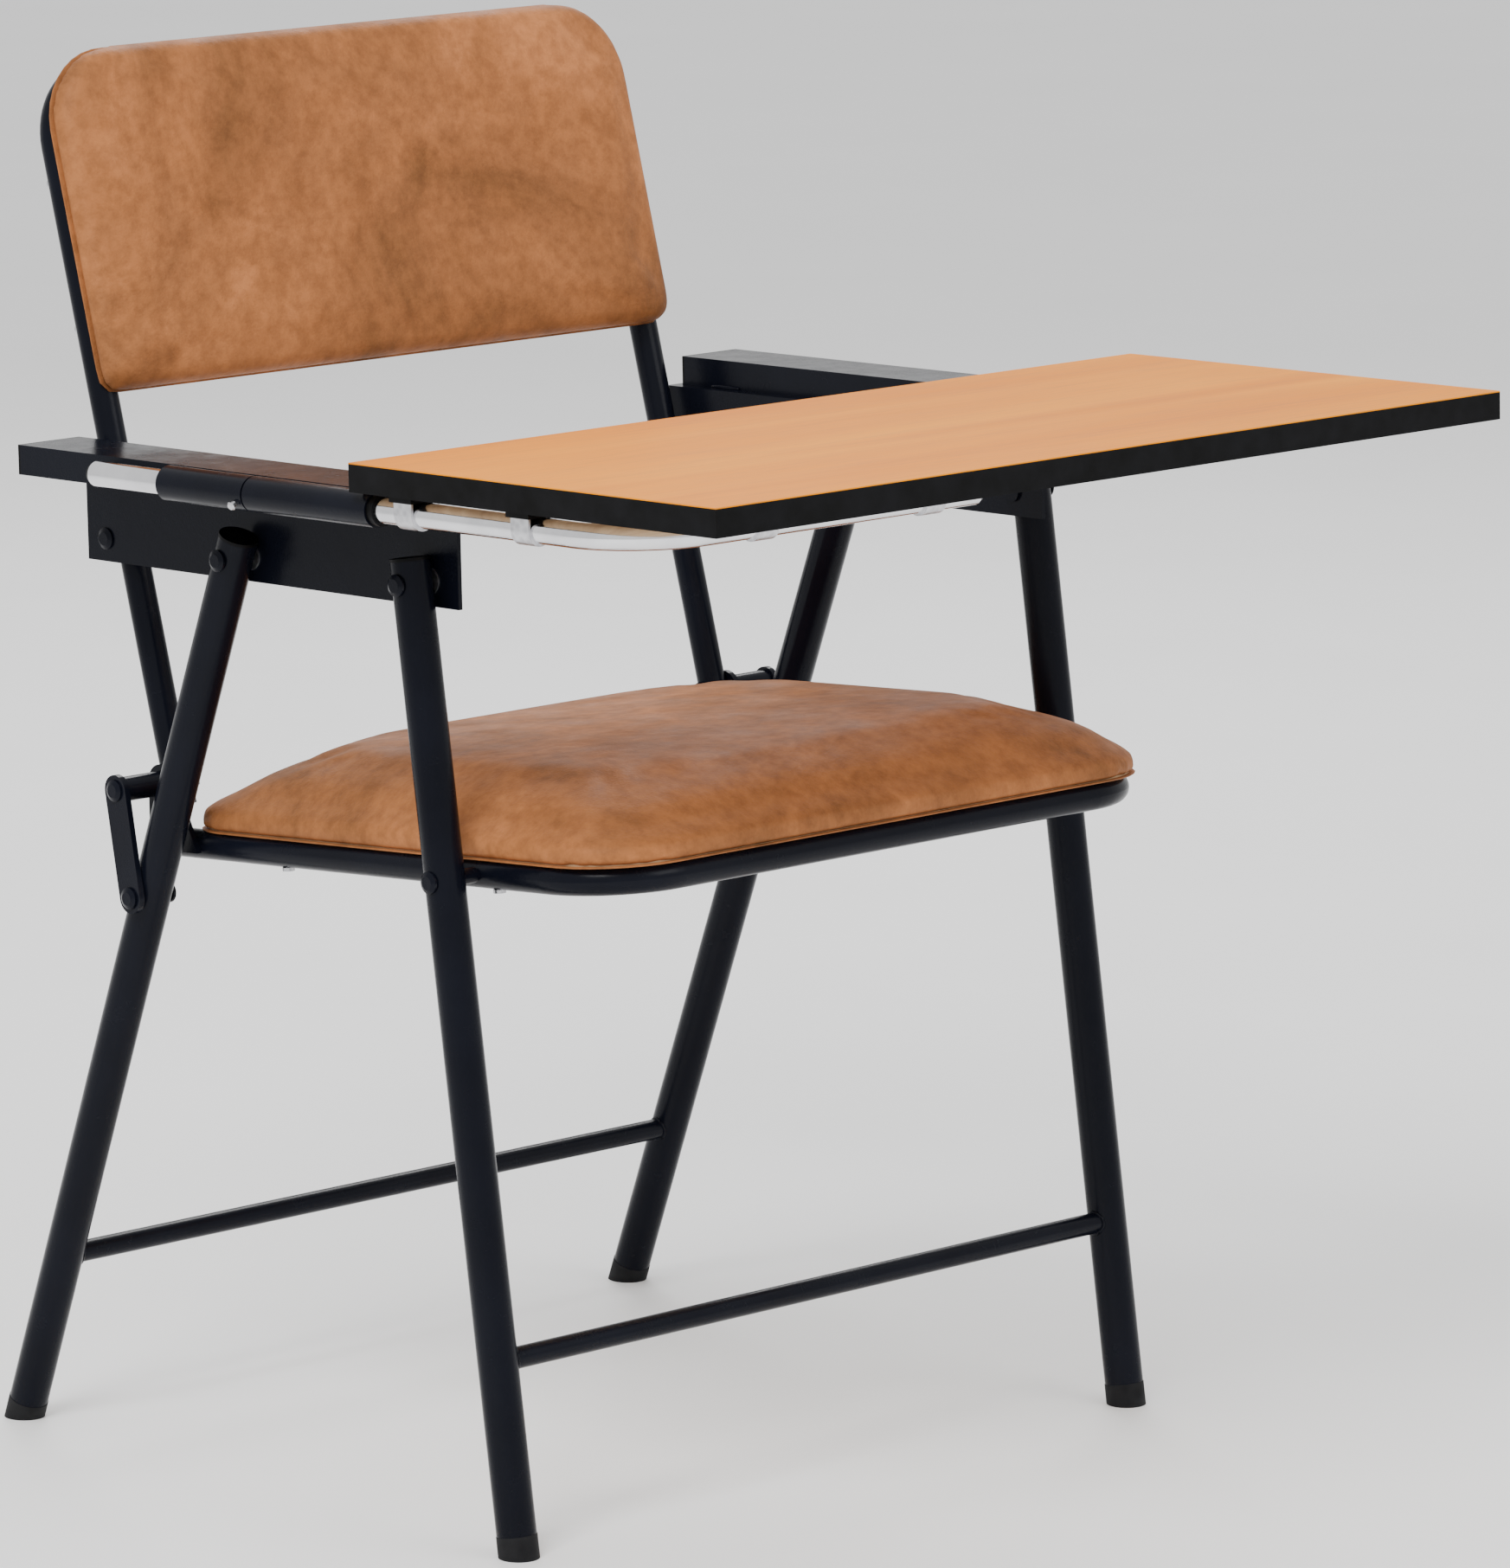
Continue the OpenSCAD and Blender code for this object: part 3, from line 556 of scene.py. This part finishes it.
HEM_T = 0.7
HEM_SWAY = 1.0 * MM
STAPLE_SIZE = (10 * MM, 1.2 * MM, 0.7 * MM)
STAPLE_SPACING = 34
STAPLE_CORNER = 30 * MM


def ring_strip(width, depth, corners, hem_width):
    """A thin flat band just under a cushion's outline, with a slightly uneven inner edge."""
    front_corner, rear_corner = corners

    def outline(inset):
        return resampled(rounded_outline(
            width / 2 - inset * MM, -depth + inset * MM, -inset * MM,
            max(front_corner - inset, 3) * MM, max(rear_corner - inset, 3) * MM), RING_POINTS)

    def build(mesh):
        rows = []
        for inset, height in ((0.6, 0.4), (0, 0), (0.8, -HEM_T), (hem_width, -HEM_T), (hem_width + 0.3, 0.1)):
            ring = []
            for i, point in enumerate(outline(inset)):
                sway = HEM_SWAY * math.sin(i * 0.9) * math.sin(i * 0.23) if inset >= hem_width else 0
                inward = Vector((0, -depth / 2)) - point
                ring.append(mesh.verts.new((*(point + inward.normalized() * sway), height * MM)))
            rows.append(ring)
        for low, high in zip(rows, rows[1:] + rows[:1]):
            for i, _ in enumerate(low):
                j = (i + 1) % len(low)
                mesh.faces.new((low[i], low[j], high[j], high[i]))
    return build


def staples(width, depth, inset, spacing):
    """Small wire staples along the middle of a hem."""
    edge = inset * MM
    ring = rounded_outline(width / 2 - edge, -depth + edge, -edge, STAPLE_CORNER, STAPLE_CORNER)
    length = sum((b - a).length for a, b in zip(ring, ring[1:] + ring[:1]))
    points = resampled(ring, int(length / (spacing * MM)))

    def build(mesh):
        for i, point in enumerate(points):
            along = points[(i + 1) % len(points)] - points[i - 1]
            turn = Matrix.Rotation(math.atan2(along.y, along.x), 4, "Z")
            place = Matrix.Translation((*point, -(HEM_T + 0.25) * MM)) @ turn
            shape = Matrix.Diagonal((*STAPLE_SIZE, 1))
            bmesh.ops.create_cube(mesh, size=1, matrix=place @ shape)
    return build


def make_hem(name, size, corners, hem_width, staple_inset, body, place):
    new_piece(name + "_hem", ring_strip(*size, corners, hem_width), "tan_leatherette", body, place)
    wires = staples(*size, staple_inset, STAPLE_SPACING)
    new_piece(name + "_staples", wires, "zinc_steel", body, place, smooth=False)


# Weld beads

FRONT_LEAN = math.radians(8.53)
REAR_LEAN = math.radians(-20.66)
ARM_RISE = math.radians(1.4)
LEG_X = 270 * MM
LEG_R = 12.7 * MM
SIDE_TUBE_X = 236.5 * MM
SIDE_TUBE_R = 9.5 * MM
BEAD_SIDES = 8
BEAD_RIPPLE = 2.4 * MM
BEAD_SWELL = 0.14
SADDLE_STEPS = 48
STITCH_STEPS = 24


def bead(points, radius, closed):
    """A rippled weld bead swept along points."""
    def build(mesh):
        rings = []
        walked = 0.0
        for i, point in enumerate(points):
            before = points[i - 1] if closed or i else points[0]
            after = points[(i + 1) % len(points)] if closed or i < len(points) - 1 else points[-1]
            along = (after - before).normalized()
            side = along.orthogonal().normalized()
            up = along.cross(side)
            walked += (point - before).length
            swell = radius * (1 + BEAD_SWELL * math.sin(walked / BEAD_RIPPLE * 2 * math.pi))
            if not closed:
                share = min(max(i / (len(points) - 1), 0.03), 0.97)
                swell *= 0.35 + 0.65 * math.sin(math.pi * share) ** 0.4
            turns = [2 * math.pi * k / BEAD_SIDES for k in range(BEAD_SIDES)]
            rings.append([
                mesh.verts.new(point + swell * (side * math.cos(a) + up * math.sin(a))) for a in turns])
        pairs = list(zip(rings, rings[1:]))
        if closed:
            pairs.append((rings[-1], rings[0]))
        for low, high in pairs:
            for k in range(BEAD_SIDES):
                n = (k + 1) % BEAD_SIDES
                mesh.faces.new((low[k], low[n], high[n], high[k]))
        if not closed:
            mesh.faces.new(rings[0])
            mesh.faces.new(list(reversed(rings[-1])))
    return build


def saddle(side, centre, bar_r, tube_x, tube_r, lean):
    """The closed line where a bar along X meets a round tube that leans in the side view."""
    points = []
    for i in range(SADDLE_STEPS):
        angle = 2 * math.pi * i / SADDLE_STEPS
        dy = bar_r * math.cos(angle)
        dz = bar_r * math.sin(angle)
        across = dy * math.cos(lean) - dz * math.sin(lean)
        x = tube_x - math.sqrt(tube_r ** 2 - across ** 2)
        points.append(Vector((side * x, centre.y + dy, centre.z + dz)))
    return points


def bar_middle(node):
    low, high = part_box(node)
    return (low + high) / 2, (high.z - low.z) / 2


def make_bar_welds(node, tube_x, tube_r, lean, body):
    middle, bar_r = bar_middle(node)
    for side, word in ((-1, "right"), (1, "left")):
        line = saddle(side, middle, bar_r, tube_x, tube_r, lean)
        new_piece(f"{node}_weld_{word}", bead(line, 1.3 * MM, True), "black_powder_coat", body)


def stitch(name, start, direction, length, radius, body):
    line = [start + direction * (length * i / STITCH_STEPS) for i in range(STITCH_STEPS + 1)]
    new_piece(name, bead(line, radius, False), "black_powder_coat", body)


def make_arm_welds():
    """Short stitches where the rod sleeves and the brackets' flanges meet the arm tubes."""
    forward = Vector((0, -math.cos(ARM_RISE), math.sin(ARM_RISE)))
    up = Vector((0, math.sin(ARM_RISE), math.cos(ARM_RISE)))
    for node, share_list in (("pad_sleeve_rear", (0.12, 0.6)), ("pad_sleeve_front", (0.08, 0.45, 0.78))):
        low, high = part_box(node)
        radius = (high.x - low.x) / 2
        rear_end = Vector((high.x, high.y, low.z + radius))
        run = high.y - low.y
        for number, share in enumerate(share_list, 1):
            start = rear_end + forward * run * share + up * 6.6 * MM - Vector((1.2 * MM, 0, 0))
            stitch(f"{node}_stitch_{number}", start, forward, 22 * MM, 1.7 * MM, "arms")
    for side, word in ((-1, "right"), (1, "left")):
        tube_low, tube_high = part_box("arm_tube_" + word)
        inner = tube_high.x if side < 0 else tube_low.x
        corner = Vector((inner - side * 0.6 * MM, tube_high.y, tube_low.z + 0.6 * MM))
        run = tube_high.y - tube_low.y
        for number, share in enumerate((0.08, 0.45, 0.82), 1):
            start = corner + forward * run * share
            stitch(f"arm_bracket_{word}_stitch_{number}", start, forward, 26 * MM, 1.8 * MM, "arms")


make_camera()
make_studio()
dress_frame()
soften_edges()
make_seat_cushion()
make_back_pad()
make_bar_welds("front_stretcher", LEG_X, LEG_R, FRONT_LEAN, "front_legs")
make_bar_welds("rear_stretcher", LEG_X, LEG_R, REAR_LEAN, "rear_legs")
make_bar_welds("seat_rear_bar", SIDE_TUBE_X, SIDE_TUBE_R, math.radians(90) - SEAT_SLOPE, "seat")
make_arm_welds()
